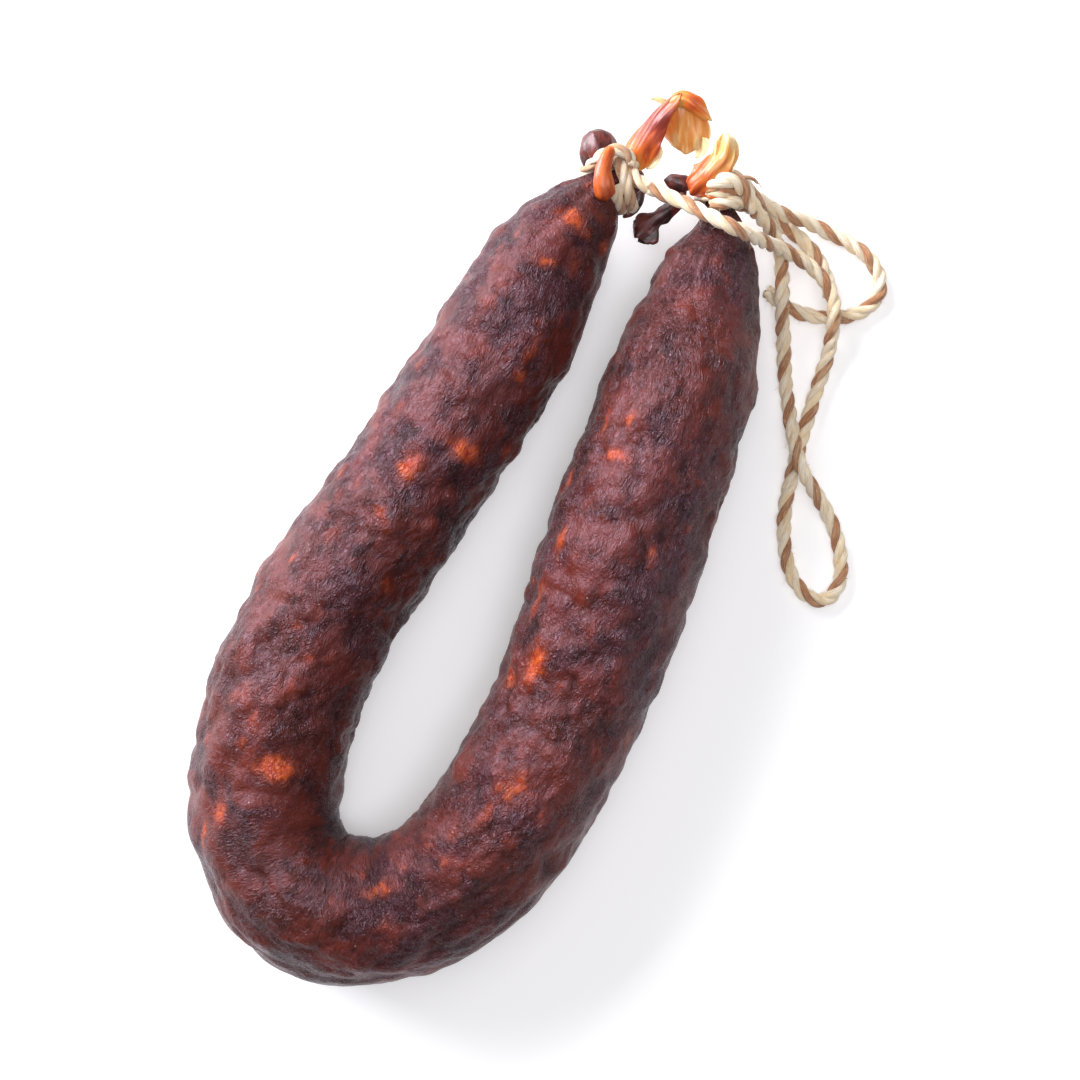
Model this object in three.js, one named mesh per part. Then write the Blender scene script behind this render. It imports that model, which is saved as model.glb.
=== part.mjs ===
// A cured chorizo bent into a horseshoe, its two necks bound with thick two-colour twine.
// Millimetres, +Z up. It lies on the plane z = 0 with the bend towards -Y and the necks towards +Y.
// The origin is on that plane, under the middle of the sausage and its casing ends.

import * as THREE from 'three';

// ---- driving dimensions ----

const SETTLE = 1;             // how far the soft underside has flattened where it lies
const NECK_HEIGHT = 13;       // the tapered ends lift no lower than this, measured at their middle
const GAP = 0.3;              // clearance kept between neighbouring pieces
const TWINE = 3;              // twine diameter
const TIE_WIDTH = 4.8;        // two turns of slightly crushed twine side by side

const SAUSAGE_SIDES = 20;
const SAUSAGE_STEPS = 66;
const CASING_SIDES = 10;
const CASING_STEPS = 12;
const TWINE_SIDES = 8;
const TWINE_STEP = 5.6;       // length of one straight piece of a twine tube

// ---- finishes ----

const FINISHES = {
  skin: { color: 0x4a2024, roughness: 0.42 },
  darkCasing: { color: 0x2c1416, roughness: 0.5 },
  amberCasing: { color: 0xd9822b, roughness: 0.35 },
  twine: { color: 0xe2d3b4, roughness: 0.9 },
};

// ---- the sausage: middle line in plan and radius, from the left neck round the bend ----

const SAUSAGE_STATIONS = [
  { x: 0.2, y: 82, r: 3.2 },
  { x: -2.4, y: 80.6, r: 3.1 },
  { x: -5.2, y: 77.8, r: 4.1 },
  { x: -7.4, y: 72.3, r: 8.4 },
  { x: -9.8, y: 65.2, r: 11.2 },
  { x: -11.6, y: 56, r: 13.2 },
  { x: -12.6, y: 47, r: 14.5 },
  { x: -14.4, y: 33, r: 15 },
  { x: -18, y: 14, r: 15.3 },
  { x: -22.6, y: -8, r: 15.6 },
  { x: -26.8, y: -28, r: 16.1 },
  { x: -28, y: -48, r: 16.5 },
  { x: -25.5, y: -65, r: 16.2 },
  { x: -19, y: -79, r: 15.9 },
  { x: -6.5, y: -86.5, r: 16.1 },
  { x: 7, y: -83.5, r: 16 },
  { x: 18, y: -74, r: 15.8 },
  { x: 24, y: -61.5, r: 16.3 },
  { x: 27, y: -46, r: 16.7 },
  { x: 28.4, y: -28, r: 16.3 },
  { x: 28.2, y: -8, r: 17 },
  { x: 27, y: 12, r: 17.1 },
  { x: 26.3, y: 31, r: 16.7 },
  { x: 25.3, y: 46, r: 16 },
  { x: 24.2, y: 58, r: 13.7 },
  { x: 22.6, y: 68, r: 11.2 },
  { x: 21.8, y: 75, r: 8.6 },
  { x: 20.4, y: 80.4, r: 4.9 },
  { x: 18.4, y: 84.6, r: 3 },
  { x: 16.7, y: 88.3, r: 2.8 },
];

// ---- dried casing beyond the ties: middle line, half width and half thickness ----

const CASING_PIECES = {
  casing_tail_left: {
    finish: 'amberCasing',
    stations: [
      { at: [0.4, 86.2, 14.5], width: 2.1, thick: 1.4 },
      { at: [0.3, 89.4, 16.4], width: 2.7, thick: 1.4 },
      { at: [0.8, 93.6, 18.5], width: 2.6, thick: 1.3 },
      { at: [1.5, 98.3, 19.5], width: 2.4, thick: 1.2 },
      { at: [3.8, 100.6, 19.5], width: 2.6, thick: 1.3 },
      { at: [6.6, 98.8, 18.6], width: 3.6, thick: 1.4 },
      { at: [8.4, 95.8, 17.4], width: 3.4, thick: 1.4 },
      { at: [10.2, 93.6, 16.4], width: 1.6, thick: 1 },
    ],
  },
  casing_tail_right: {
    finish: 'amberCasing',
    stations: [
      { at: [9.4, 84.8, 18.8], width: 1.4, thick: 0.9 },
      { at: [11.2, 87.6, 19.4], width: 2.2, thick: 1.2 },
      { at: [13.8, 91, 18.6], width: 2.7, thick: 1.5 },
      { at: [15.6, 94, 18], width: 2.4, thick: 1.5 },
      { at: [14.2, 96.6, 17.4], width: 1.8, thick: 1 },
    ],
  },
  casing_flap_left: {
    finish: 'darkCasing',
    stations: [
      { at: [-10.2, 83, 12.8], width: 1, thick: 1.1 },
      { at: [-10.5, 84.8, 13.4], width: 1.9, thick: 1.8 },
      { at: [-10.8, 86.6, 13.6], width: 2.9, thick: 2.2 },
      { at: [-11.5, 88.3, 13.4], width: 2.5, thick: 1.9 },
      { at: [-12.2, 89.9, 13], width: 1.2, thick: 1.1 },
    ],
  },
  casing_fold_left: {
    finish: 'darkCasing',
    stations: [
      { at: [2.6, 81.6, 7.8], width: 1.2, thick: 0.8 },
      { at: [4, 78.8, 7.2], width: 1.5, thick: 0.9 },
      { at: [3.4, 75.6, 6.6], width: 1.6, thick: 0.9 },
      { at: [1.4, 73, 6.2], width: 1, thick: 0.8 },
    ],
  },
  casing_tab_left: {
    finish: 'amberCasing',
    stations: [
      { at: [-7.9, 86.2, 17.8], width: 1, thick: 0.8 },
      { at: [-8.2, 83, 19.8], width: 1.3, thick: 1.2 },
      { at: [-7.4, 79.6, 20.6], width: 1.6, thick: 1.3 },
      { at: [-6, 76.6, 20.8], width: 1.7, thick: 1.3 },
      { at: [-4.9, 74.6, 21], width: 0.9, thick: 0.8 },
    ],
  },
  casing_flap_right: {
    finish: 'darkCasing',
    stations: [
      { at: [12.4, 88.2, 12], width: 1.2, thick: 0.9 },
      { at: [8.8, 85.8, 12.5], width: 1.6, thick: 1 },
      { at: [7.2, 80, 12.4], width: 1.9, thick: 1 },
      { at: [6.4, 76, 11.8], width: 2.2, thick: 1 },
      { at: [5.4, 72.6, 11], width: 1.5, thick: 0.8 },
    ],
  },
};

// ---- the ties: where on the sausage they sit, as a place along its stations ----

const TIES = {
  tie_left: { station: 0.9, neckRadius: 4.2 },
  tie_right: { station: 28.4, neckRadius: 3.1 },
};

// ---- the twine's route: the middle of the cord, laid by hand ----

const TWINE_ROUTES = {
  // from the left tie over the right neck, down the side, round the long loop and back to the right tie
  twine_loop: [
    [3.4, 81.4, 17.4], [7, 81.1, 18.4], [12, 80.7, 20], [17.6, 79.9, 22], [23, 79.4, 22.4],
    [27.4, 79.6, 19.6], [31.2, 80.4, 14.4], [35.4, 81.1, 9.2], [40.2, 80.9, 6.4], [44.8, 79.6, 5.3],
    [49, 76.5, 5.2], [51.3, 71.8, 5.4], [53, 65.6, 2.8], [53.8, 58.8, 1.6], [54.3, 51, 1.6],
    [55, 44, 1.6], [56, 36.5, 1.6], [57.2, 30, 1.6], [59.6, 23.4, 1.6], [63, 17.8, 1.6],
    [67.6, 14.2, 1.6], [72.2, 14, 1.6], [74.3, 17.4, 1.6], [73.6, 22, 1.6], [70.8, 27.2, 1.6],
    [66.4, 32, 2], [61.6, 35.6, 3.8], [56.8, 39.2, 5.4], [53, 44.6, 3.6], [49.8, 50.2, 1.7],
    [46.5, 56.4, 1.6], [43.6, 62.6, 1.9], [40.6, 68.4, 4.6], [39, 72, 5.5], [37.2, 76.8, 4],
    [35, 81.3, 3.6], [31.4, 84.4, 6], [28, 85.6, 10.2], [25.8, 86.2, 13.4],
  ],
  // from the right tie out into the wide bow, under the long loop and round to the side of the sausage
  twine_bow: [
    [24.8, 89, 11], [27.4, 88.9, 9.2], [30.2, 88.8, 7.2], [33.2, 88.9, 5.2], [37, 89.6, 3.6],
    [41, 89.6, 1.9], [45, 89.4, 1.6], [49, 89, 1.6], [53.6, 87.6, 1.6], [57.2, 84.8, 1.6], [58.6, 80.8, 1.6],
    [57.4, 77.2, 1.6], [54.4, 74.2, 1.6], [50.4, 72.2, 1.6], [46.4, 71, 1.6], [42.6, 70.8, 1.6],
    [39, 71.4, 1.6], [35.6, 72.4, 1.8],
  ],
  // from the right tie along the inside of the bow, and tucked under the long loop
  twine_tuck: [
    [24.6, 87.4, 7.4], [27.2, 87.3, 5.4], [30, 87.3, 3.2], [33, 87.1, 1.8], [36.6, 86.5, 1.6],
    [39.8, 85.3, 1.6], [42.8, 83.6, 1.6], [45.4, 81.4, 1.6], [47.6, 79, 1.6], [48.9, 76.4, 1.6],
  ],
};

// ---- helpers ----

function material({ color, roughness }) {
  return new THREE.MeshStandardMaterial({ color, roughness, metalness: 0 });
}

function part(name, geometry, finish) {
  const mesh = new THREE.Mesh(geometry, material(FINISHES[finish]));
  mesh.name = name;
  return mesh;
}

// A smooth line through numbers or points, read at a place counted in stations.
function alongStations(values) {
  const curve = new THREE.CatmullRomCurve3(values, false, 'catmullrom', 0.5);
  return (place) => curve.getPoint(place / (values.length - 1));
}

// The level direction across a line, and the direction square to both, at a place along it.
function crossAxes(pointAt, place, last) {
  const step = 0.02;
  const before = pointAt(Math.max(place - step, 0));
  const after = pointAt(Math.min(place + step, last));
  const forward = after.sub(before).normalize();
  const across = new THREE.Vector3(0, 0, 1).cross(forward).normalize();
  const up = forward.clone().cross(across);
  return { forward, across, up };
}

// A closed body of rings laid along a line, with a domed cap at each end.
function bodyAlong(pointAt, halfSizesAt, last, sides, steps) {
  const positions = [];
  const indices = [];
  const addRing = (place) => {
    const centre = pointAt(place);
    const { across, up } = crossAxes(pointAt, place, last);
    const { width, thick } = halfSizesAt(place);
    for (let side = 0; side < sides; side += 1) {
      const angle = (2 * Math.PI * side) / sides - Math.PI / 2;
      const vertex = centre.clone()
        .addScaledVector(across, width * Math.cos(angle))
        .addScaledVector(up, thick * Math.sin(angle));
      vertex.z = Math.max(vertex.z, 0);
      positions.push(vertex.x, vertex.y, vertex.z);
    }
  };
  for (let step = 0; step <= steps; step += 1) addRing((last * step) / steps);

  const corner = (ring, side) => ring * sides + (side % sides);
  for (let ring = 0; ring < steps; ring += 1) {
    for (let side = 0; side < sides; side += 1) {
      const a = corner(ring, side);
      const b = corner(ring, side + 1);
      const c = corner(ring + 1, side + 1);
      const d = corner(ring + 1, side);
      indices.push(a, b, c, a, c, d);
    }
  }

  const addCap = (place, ring, outward) => {
    const { forward } = crossAxes(pointAt, place, last);
    const { thick } = halfSizesAt(place);
    const tip = pointAt(place).addScaledVector(forward, outward * thick * 0.5);
    const tipIndex = positions.length / 3;
    positions.push(tip.x, tip.y, tip.z);
    for (let side = 0; side < sides; side += 1) {
      const a = corner(ring, side);
      const b = corner(ring, side + 1);
      if (outward < 0) indices.push(tipIndex, b, a);
      else indices.push(tipIndex, a, b);
    }
  };
  addCap(0, 0, -1);
  addCap(last, steps, 1);

  const geometry = new THREE.BufferGeometry();
  geometry.setAttribute('position', new THREE.Float32BufferAttribute(positions, 3));
  geometry.setIndex(indices);
  geometry.computeVertexNormals();
  return geometry;
}

// ---- the sausage ----

const sausagePoint = alongStations(
  SAUSAGE_STATIONS.map(({ x, y, r }) => new THREE.Vector3(x, y, Math.max(r - SETTLE, NECK_HEIGHT))),
);
const sausageRadiusPoint = alongStations(SAUSAGE_STATIONS.map(({ r }) => new THREE.Vector3(r, 0, 0)));

function sausage() {
  const last = SAUSAGE_STATIONS.length - 1;
  const halfSizes = (place) => {
    const radius = sausageRadiusPoint(place).x;
    return { width: radius, thick: radius };
  };
  return part('sausage', bodyAlong(sausagePoint, halfSizes, last, SAUSAGE_SIDES, SAUSAGE_STEPS), 'skin');
}

// ---- the ties ----

function tie(name, { station, neckRadius }) {
  const inner = neckRadius + GAP;
  const outer = inner + TWINE;
  const half = TIE_WIDTH / 2;
  const edge = TWINE / 4;
  const profile = [
    new THREE.Vector2(inner, -half + edge),
    new THREE.Vector2(inner + edge, -half),
    new THREE.Vector2(outer - edge, -half),
    new THREE.Vector2(outer, -half + edge),
    new THREE.Vector2(outer, half - edge),
    new THREE.Vector2(outer - edge, half),
    new THREE.Vector2(inner + edge, half),
    new THREE.Vector2(inner, half - edge),
    new THREE.Vector2(inner, -half + edge),
  ];
  const mesh = part(name, new THREE.LatheGeometry(profile, 24), 'twine');
  const { forward } = crossAxes(sausagePoint, station, SAUSAGE_STATIONS.length - 1);
  mesh.position.copy(sausagePoint(station));
  mesh.quaternion.setFromUnitVectors(new THREE.Vector3(0, 1, 0), forward);
  return mesh;
}

// ---- the dried casing beyond the ties ----

function casing(name, { finish, stations }) {
  const last = stations.length - 1;
  const pointAt = alongStations(stations.map(({ at }) => new THREE.Vector3(...at)));
  const sizeAt = alongStations(stations.map(({ width, thick }) => new THREE.Vector3(width, thick, 0)));
  const halfSizes = (place) => {
    const size = sizeAt(place);
    return { width: size.x, thick: size.y };
  };
  return part(name, bodyAlong(pointAt, halfSizes, last, CASING_SIDES, CASING_STEPS), finish);
}

// ---- the twine ----

function twine(name, route) {
  const path = new THREE.CatmullRomCurve3(route.map((point) => new THREE.Vector3(...point)));
  const section = new THREE.Shape();
  section.absarc(0, 0, TWINE / 2, 0, 2 * Math.PI);
  const geometry = new THREE.ExtrudeGeometry(section, {
    steps: Math.round(path.getLength() / TWINE_STEP),
    curveSegments: TWINE_SIDES / 2,  // a full circle is cut into twice this many sides
    extrudePath: path,
  });
  return part(name, geometry, 'twine');
}

// ---- assembly ----

const chorizo = new THREE.Group();
chorizo.add(sausage());
for (const [name, place] of Object.entries(TIES)) chorizo.add(tie(name, place));
for (const [name, piece] of Object.entries(CASING_PIECES)) chorizo.add(casing(name, piece));
for (const [name, route] of Object.entries(TWINE_ROUTES)) chorizo.add(twine(name, route));

export default chorizo;
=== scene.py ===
# %% [markdown]
# # A cured chorizo, bent into a horseshoe
# The real thing is a long sausage in natural casing, cured until its skin is dark, wrinkled and
# slightly greasy. Both ends are tied with thick two-tone twine, and the empty casing beyond the ties
# has dried into amber tails. Each code cell below makes one piece or one finish, and the note before it
# says why it is made that way. Lengths are written in millimetres and turned to metres at the moment a
# mesh is made.

# %% Load the frame
import math
import random

import bpy
import numpy as np
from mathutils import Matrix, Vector, noise


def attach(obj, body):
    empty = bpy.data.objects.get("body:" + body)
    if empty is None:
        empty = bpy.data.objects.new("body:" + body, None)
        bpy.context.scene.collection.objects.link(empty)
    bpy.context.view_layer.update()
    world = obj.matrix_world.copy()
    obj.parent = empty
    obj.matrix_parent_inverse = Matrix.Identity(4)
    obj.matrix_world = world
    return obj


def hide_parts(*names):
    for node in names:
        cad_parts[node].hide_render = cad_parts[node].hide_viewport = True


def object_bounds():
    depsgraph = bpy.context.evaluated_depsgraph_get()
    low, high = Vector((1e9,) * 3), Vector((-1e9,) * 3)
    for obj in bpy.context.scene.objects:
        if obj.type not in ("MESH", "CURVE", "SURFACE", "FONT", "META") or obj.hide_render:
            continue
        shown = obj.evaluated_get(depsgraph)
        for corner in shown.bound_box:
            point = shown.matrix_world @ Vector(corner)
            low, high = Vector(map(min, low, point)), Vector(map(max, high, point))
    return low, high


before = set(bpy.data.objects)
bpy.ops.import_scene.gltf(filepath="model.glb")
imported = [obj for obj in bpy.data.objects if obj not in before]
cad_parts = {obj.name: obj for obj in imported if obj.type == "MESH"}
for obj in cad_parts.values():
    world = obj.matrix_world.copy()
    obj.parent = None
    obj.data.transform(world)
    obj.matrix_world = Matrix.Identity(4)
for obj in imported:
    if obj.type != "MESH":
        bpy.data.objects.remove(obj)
cad_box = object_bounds()
MM = 0.001
print("frame:", sorted(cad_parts))

# %% [markdown]
# ## Camera, floor and light
# The sausage lies on a pale surface and is seen from straight above, turned a little in the view. The
# camera needs no aiming: a Blender camera looks down by itself, and one turn about the upright axis
# sets the angle.

# %% Camera
VIEW_TURN = math.radians(22)
VIEW_WIDTH = 230.4
VIEW_LEVEL = 16
CAMERA_HEIGHT = 500
SENSOR_WIDTH = 36
VIEW_OFFSET = Vector((-5.5, 2.9, 0))

box_middle = (Vector(cad_box[0]) + Vector(cad_box[1])) / 2 / MM
camera_data = bpy.data.cameras.new("camera")
camera_data.sensor_width = SENSOR_WIDTH
camera_data.lens = SENSOR_WIDTH * (CAMERA_HEIGHT - VIEW_LEVEL) / VIEW_WIDTH
camera = bpy.data.objects.new("camera", camera_data)
camera.location = Vector((box_middle.x, box_middle.y, CAMERA_HEIGHT)) * MM + VIEW_OFFSET * MM
camera.rotation_euler = (0, 0, VIEW_TURN)
bpy.context.scene.collection.objects.link(camera)
bpy.context.scene.camera = camera
bpy.context.scene.view_settings.view_transform = "Standard"
print("camera at", tuple(round(v, 4) for v in camera.location), "lens", round(camera_data.lens, 1))

# %% [markdown]
# ## Shader maths as Python
# A material in Blender is a net of nodes. Wiring them by hand is slow to read, so this small class
# wraps one output socket: adding or multiplying two wires adds the Math node for it. Colours and
# directions go through Vector Math and Mix nodes, because a Math node would turn a colour grey.

# %% Wires and finishes
class Wire:
    """One output socket of a node, which plain Python maths can be done on."""

    def __init__(self, finish, socket):
        self.finish = finish
        self.socket = socket

    def _join(self, operation, first, second):
        several = any(isinstance(x, tuple) or (isinstance(x, Wire) and x.many()) for x in (first, second))
        kind = "ShaderNodeVectorMath" if several else "ShaderNodeMath"
        return self.finish.node(kind, {"operation": operation}, {0: first, 1: second})

    def many(self):
        return self.socket.type in {"VECTOR", "RGBA"}

    def __add__(self, other):
        return self._join("ADD", self, other)

    def __radd__(self, other):
        return self._join("ADD", other, self)

    def __sub__(self, other):
        return self._join("SUBTRACT", self, other)

    def __rsub__(self, other):
        return self._join("SUBTRACT", other, self)

    def __mul__(self, other):
        return self._join("MULTIPLY", self, other)

    def between(self, low, high):
        """0 below low, 1 above high, and a smooth rise from one to the other."""
        return self.finish.node(
            "ShaderNodeMapRange",
            {"interpolation_type": "SMOOTHSTEP"},
            {"Value": self, "From Min": low, "From Max": high},
        )


class Finish:
    """A material and the one surface shader that its nodes feed."""

    def __init__(self, name, **constants):
        self.material = bpy.data.materials.new(name)
        self.material.use_nodes = True
        self.tree = self.material.node_tree
        self.shader = self.tree.nodes["Principled BSDF"]
        for socket, value in constants.items():
            self.shader.inputs[socket.replace("_", " ")].default_value = value

    def node(self, kind, settings=None, inputs=None, output=0):
        made = self.tree.nodes.new(kind)
        for setting, value in (settings or {}).items():
            if setting == "stops":
                self._set_stops(made.color_ramp, value)
            else:
                setattr(made, setting, value)
        for socket, value in (inputs or {}).items():
            self._plug(made.inputs[socket], value)
        return Wire(self, made.outputs[output])

    def _set_stops(self, ramp, stops):
        while len(ramp.elements) > 1:
            ramp.elements.remove(ramp.elements[-1])
        ramp.elements[0].position, ramp.elements[0].color = stops[0][0], (*stops[0][1], 1)
        for place, shade in stops[1:]:
            ramp.elements.new(place).color = (*shade, 1)

    def _plug(self, socket, value):
        if isinstance(value, Wire):
            self.tree.links.new(value.socket, socket)
        elif isinstance(value, tuple) and socket.type == "RGBA" and len(value) == 3:
            socket.default_value = (*value, 1)
        elif socket.type == "VECTOR" and not isinstance(value, tuple):
            socket.default_value = (value, value, value)
        else:
            socket.default_value = value

    def feed(self, **wires):
        for socket, wire in wires.items():
            self._plug(self.shader.inputs[socket.replace("_", " ")], wire)

    def stored(self, name, output="Fac"):
        """A value stored on the mesh's own points."""
        return self.node("ShaderNodeAttribute", {"attribute_name": name}, output=output)

    def mix(self, factor, low, high):
        """Low where factor is 0 and high where it is 1, for colours."""
        return self.node("ShaderNodeMix", {"data_type": "RGBA"}, {0: factor, 6: low, 7: high}, output=2)

    def cloud(self, where, size, detail=2.0, roughness=0.5, distortion=0.0):
        """Soft noise from 0 to 1 whose blotches are about size across."""
        inputs = {"Vector": where, "Scale": 1 / size, "Detail": detail}
        inputs |= {"Roughness": roughness, "Distortion": distortion}
        return self.node("ShaderNodeTexNoise", {}, inputs)

    def cells(self, where, size):
        """The distance to the nearest of many scattered points that lie about size apart."""
        return self.node("ShaderNodeTexVoronoi", {}, {"Vector": where, "Scale": 1 / size})

    def bump(self, height, strength, distance, onto=None):
        """A surface direction tilted by height, which stands for this distance in millimetres."""
        inputs = {"Strength": strength, "Distance": distance * MM, "Height": height}
        if onto is not None:
            inputs["Normal"] = onto
        return self.node("ShaderNodeBump", {}, inputs)


def shade(code):
    """A colour from its six-digit web code, in the light-linear values that shaders use."""
    parts = [int(code[i:i + 2], 16) / 255 for i in (0, 2, 4)]
    return tuple(p / 12.92 if p <= 0.04045 else ((p + 0.055) / 1.055) ** 2.4 for p in parts)


print("a warm brown in linear light:", tuple(round(v, 3) for v in shade("7a4632")))

# %% [markdown]
# The floor is plain and pale, and glows a little so that it stays light under the sausage. A big soft
# panel on the left is the window of a kitchen. A weak one overhead evens out the shade, a narrow cool
# one beside it puts a faint glint on the ridges, and a pale sky fills in from all round.

# %% Floor and light
floor_finish = Finish("pale_floor", Roughness=0.8, Specular_IOR_Level=0.2, Emission_Strength=0.28)
floor_finish.feed(Base_Color=shade("f0f0f0"), Emission_Color=shade("ffffff"))
bpy.ops.mesh.primitive_plane_add(size=4, location=(0, 0, -0.0001))
floor = bpy.context.object
floor.name = "floor"
floor.data.materials.append(floor_finish.material)


def panel(name, place, size, power, colour):
    """A soft light panel at place, facing the middle of the sausage."""
    data = bpy.data.lights.new(name, "AREA")
    data.shape = "RECTANGLE"
    data.size, data.size_y = size[0] * MM, size[1] * MM
    data.energy = power
    data.color = colour
    light = bpy.data.objects.new(name, data)
    light.location = Vector(place) * MM
    light.rotation_euler = (-light.location).to_track_quat("-Z", "Y").to_euler()
    bpy.context.scene.collection.objects.link(light)


panel("window_panel", (-760, 290, 370), (760, 620), 22.5, (0.94, 0.94, 1.0))
panel("ceiling_panel", (60, 120, 800), (700, 700), 2.4, (1.0, 0.97, 0.94))
panel("roof_window", (90, -40, 720), (130, 420), 1.3, (0.8, 0.84, 1.0))
world = bpy.data.worlds.new("pale_room")
bpy.context.scene.world = world
world.use_nodes = True
world.node_tree.nodes["Background"].inputs["Color"].default_value = (1.0, 0.96, 0.93, 1)
world.node_tree.nodes["Background"].inputs["Strength"].default_value = 0.2

# %% [markdown]
# ## Smooth lines and surfaces
# Nearly every piece here is a skin of rings carried along a smooth line. These helpers read a smooth
# line through a few points, lay rings along it, and gather the rings of one piece into a single closed
# mesh.

# %% Line helpers
def along(values, places):
    """Reads the smooth line through values at places, counted in steps from one value to the next."""
    values = np.asarray(values, float)
    padded = np.vstack([2 * values[0] - values[1], values, 2 * values[-1] - values[-2]])
    span = np.clip(np.asarray(places).astype(int), 0, len(values) - 2)
    t = (np.asarray(places, float) - span)[:, None]
    a, b, c, d = (padded[span + k] for k in range(4))
    return b + 0.5 * t * (c - a + t * (2 * a - 5 * b + 4 * c - d + t * (3 * (b - c) + d - a)))


def even_line(values, step):
    """The smooth line as rows an equal step apart, and each row's distance from the start."""
    dense = along(values, np.linspace(0, len(values) - 1, 60 * len(values)))
    lengths = np.linalg.norm(np.diff(dense[:, :3], axis=0), axis=1)
    run = np.concatenate([[0], np.cumsum(lengths)])
    stops = np.linspace(0, run[-1], max(round(run[-1] / step), 3) + 1)
    rows = np.stack([np.interp(stops, run, column) for column in dense.T], axis=1)
    return rows, stops


def unit(vectors):
    return vectors / np.maximum(np.linalg.norm(vectors, axis=-1, keepdims=True), 1e-9)


def level_axes(points):
    """Forward, level sideways and upward directions along a line that lies nearly flat."""
    forward = unit(np.gradient(points, axis=0))
    across = unit(np.cross([0, 0, 1], forward))
    return forward, across, np.cross(forward, across)


def turning_axes(points):
    """Two directions square to the line that turn with it as little as they can."""
    forward = unit(np.gradient(points, axis=0))
    side = np.cross(forward[0], [0, 0, 1] if abs(forward[0][2]) < 0.9 else [1, 0, 0])
    sides = [unit(side)]
    for ahead in forward[1:]:
        side = sides[-1] - ahead * np.dot(sides[-1], ahead)
        sides.append(unit(side))
    sides = np.array(sides)
    return forward, sides, np.cross(forward, sides)


def round_about(around, side, top):
    """For each row of a line, the directions at some angles from side towards top: (row, angle, xyz)."""
    return np.cos(around)[None, :, None] * side[:, None] + np.sin(around)[None, :, None] * top[:, None]


def together(*parts):
    """Arrays stretched to one shape and stacked as the x, y and z of a last axis."""
    return np.stack(np.broadcast_arrays(*parts), axis=-1)

# %% Mesh helper
class Skin:
    """Gathers closed surfaces, with values stored on their points, to become one piece."""

    def __init__(self):
        self.points, self.faces, self.values = [], [], {}
        self.count = 0

    def add_rings(self, rings, **values):
        """Rings as an array of (ring, side, xyz), closed round and capped at both ends."""
        rings = np.asarray(rings, float)
        count, sides, _ = rings.shape
        here = np.arange(count * sides).reshape(count, sides)
        ahead = np.roll(here, -1, axis=1)
        walls = np.stack([here[:-1], ahead[:-1], ahead[1:], here[1:]], axis=-1).reshape(-1, 4)
        first, last = count * sides, count * sides + 1
        caps = [(first, ahead[0, k], here[0, k]) for k in range(sides)]
        caps += [(last, here[-1, k], ahead[-1, k]) for k in range(sides)]
        self.faces += [tuple(int(i) + self.count for i in face) for face in walls.tolist() + caps]
        tips = np.stack([rings[0].mean(axis=0), rings[-1].mean(axis=0)])
        self.points.append(np.vstack([rings.reshape(-1, 3), tips]))
        for name, value in values.items():
            value = np.asarray(value, float)
            if value.ndim == 0:
                value = np.full(count * sides, value)
            flat = value.reshape(count * sides, -1)
            self.values.setdefault(name, []).append(np.vstack([flat, flat[:1], flat[-1:]]))
        self.count += count * sides + 2

    def piece(self, name, finish, slot, *nodes):
        """Makes the object, gives it its finish and lets it stand for the construction nodes."""
        mesh = bpy.data.meshes.new(name)
        mesh.from_pydata((np.vstack(self.points) * MM).tolist(), [], self.faces)
        for key, chunks in self.values.items():
            full = np.vstack(chunks)
            kind, field_name = ("FLOAT_VECTOR", "vector") if full.shape[1] == 3 else ("FLOAT", "value")
            layer = mesh.attributes.new(key, kind, "POINT")
            layer.data.foreach_set(field_name, full.ravel())
        mesh.shade_smooth()
        mesh.materials.append(finish.material)
        made = bpy.data.objects.new(name, mesh)
        bpy.context.scene.collection.objects.link(made)
        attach(made, "root")
        if nodes:
            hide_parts(*nodes)
        print(f"{name}: {len(mesh.vertices)} points, {len(mesh.polygons)} faces")
        return made


print("line at its middle:", along([(0, 0, 0), (1, 0, 0), (2, 1, 0)], [1.5]).round(3).tolist())

# %% [markdown]
# ## The twine
# Butcher's twine is three yarns twisted round each other: two cream ones and a brown one, which shows
# as a slanting band each time it comes round. A plain tube would need its twist painted on. Here each
# yarn is its own tube that winds round the route, so the grooves between the yarns are real and catch
# the light. The three free stretches are the loop for hanging, a bow that sticks out sideways, and a
# short tucked end.

# %% Twine sizes and routes
TWINE = 3.0
YARN = 0.86
YARN_ORBIT = 0.8
LAY_LENGTH = 10.2
YARN_SIDES = 12
YARN_STEP = 0.45
FIBRE_RADIUS = 0.055
FIBRES_PER_MM = 1.7
WORN_FIBRES = 34
YARNS = [0.0, 0.06, 1.0]

# Each row of a route: x, y and height of the middle of the twine.
LOOP_ROUTE = [
    (3.4, 81.4, 17.4), (7, 81.1, 18.4), (12, 80.7, 20), (17.6, 79.9, 22), (23, 79.4, 22.4),
    (27.4, 79.6, 19.6), (31.2, 80.4, 14.4), (35.4, 81.1, 9.2), (40.2, 80.9, 6.4), (44.8, 79.6, 5.3),
    (49, 76.5, 5.2), (51.3, 71.8, 5.4), (53, 65.6, 2.8), (53.8, 58.8, 1.6), (54.3, 51, 1.6),
    (55, 44, 1.6), (56, 36.5, 1.6), (57.2, 30, 1.6), (59.6, 23.4, 1.6), (63, 17.8, 1.6),
    (67.6, 14.2, 1.6), (72.2, 14, 1.6), (74.3, 17.4, 1.6), (73.6, 22, 1.6), (70.8, 27.2, 1.6),
    (66.4, 32, 2), (61.6, 35.6, 3.8), (56.8, 39.2, 5.4), (53, 44.6, 3.6), (49.8, 50.2, 1.7),
    (46.5, 56.4, 1.6), (43.6, 62.6, 1.9), (40.6, 68.4, 4.6), (39, 72, 5.5), (37.2, 76.8, 4),
    (35, 81.3, 3.6), (31.4, 84.4, 6), (28, 85.6, 10.2), (25.8, 86.2, 13.4),
]
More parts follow.
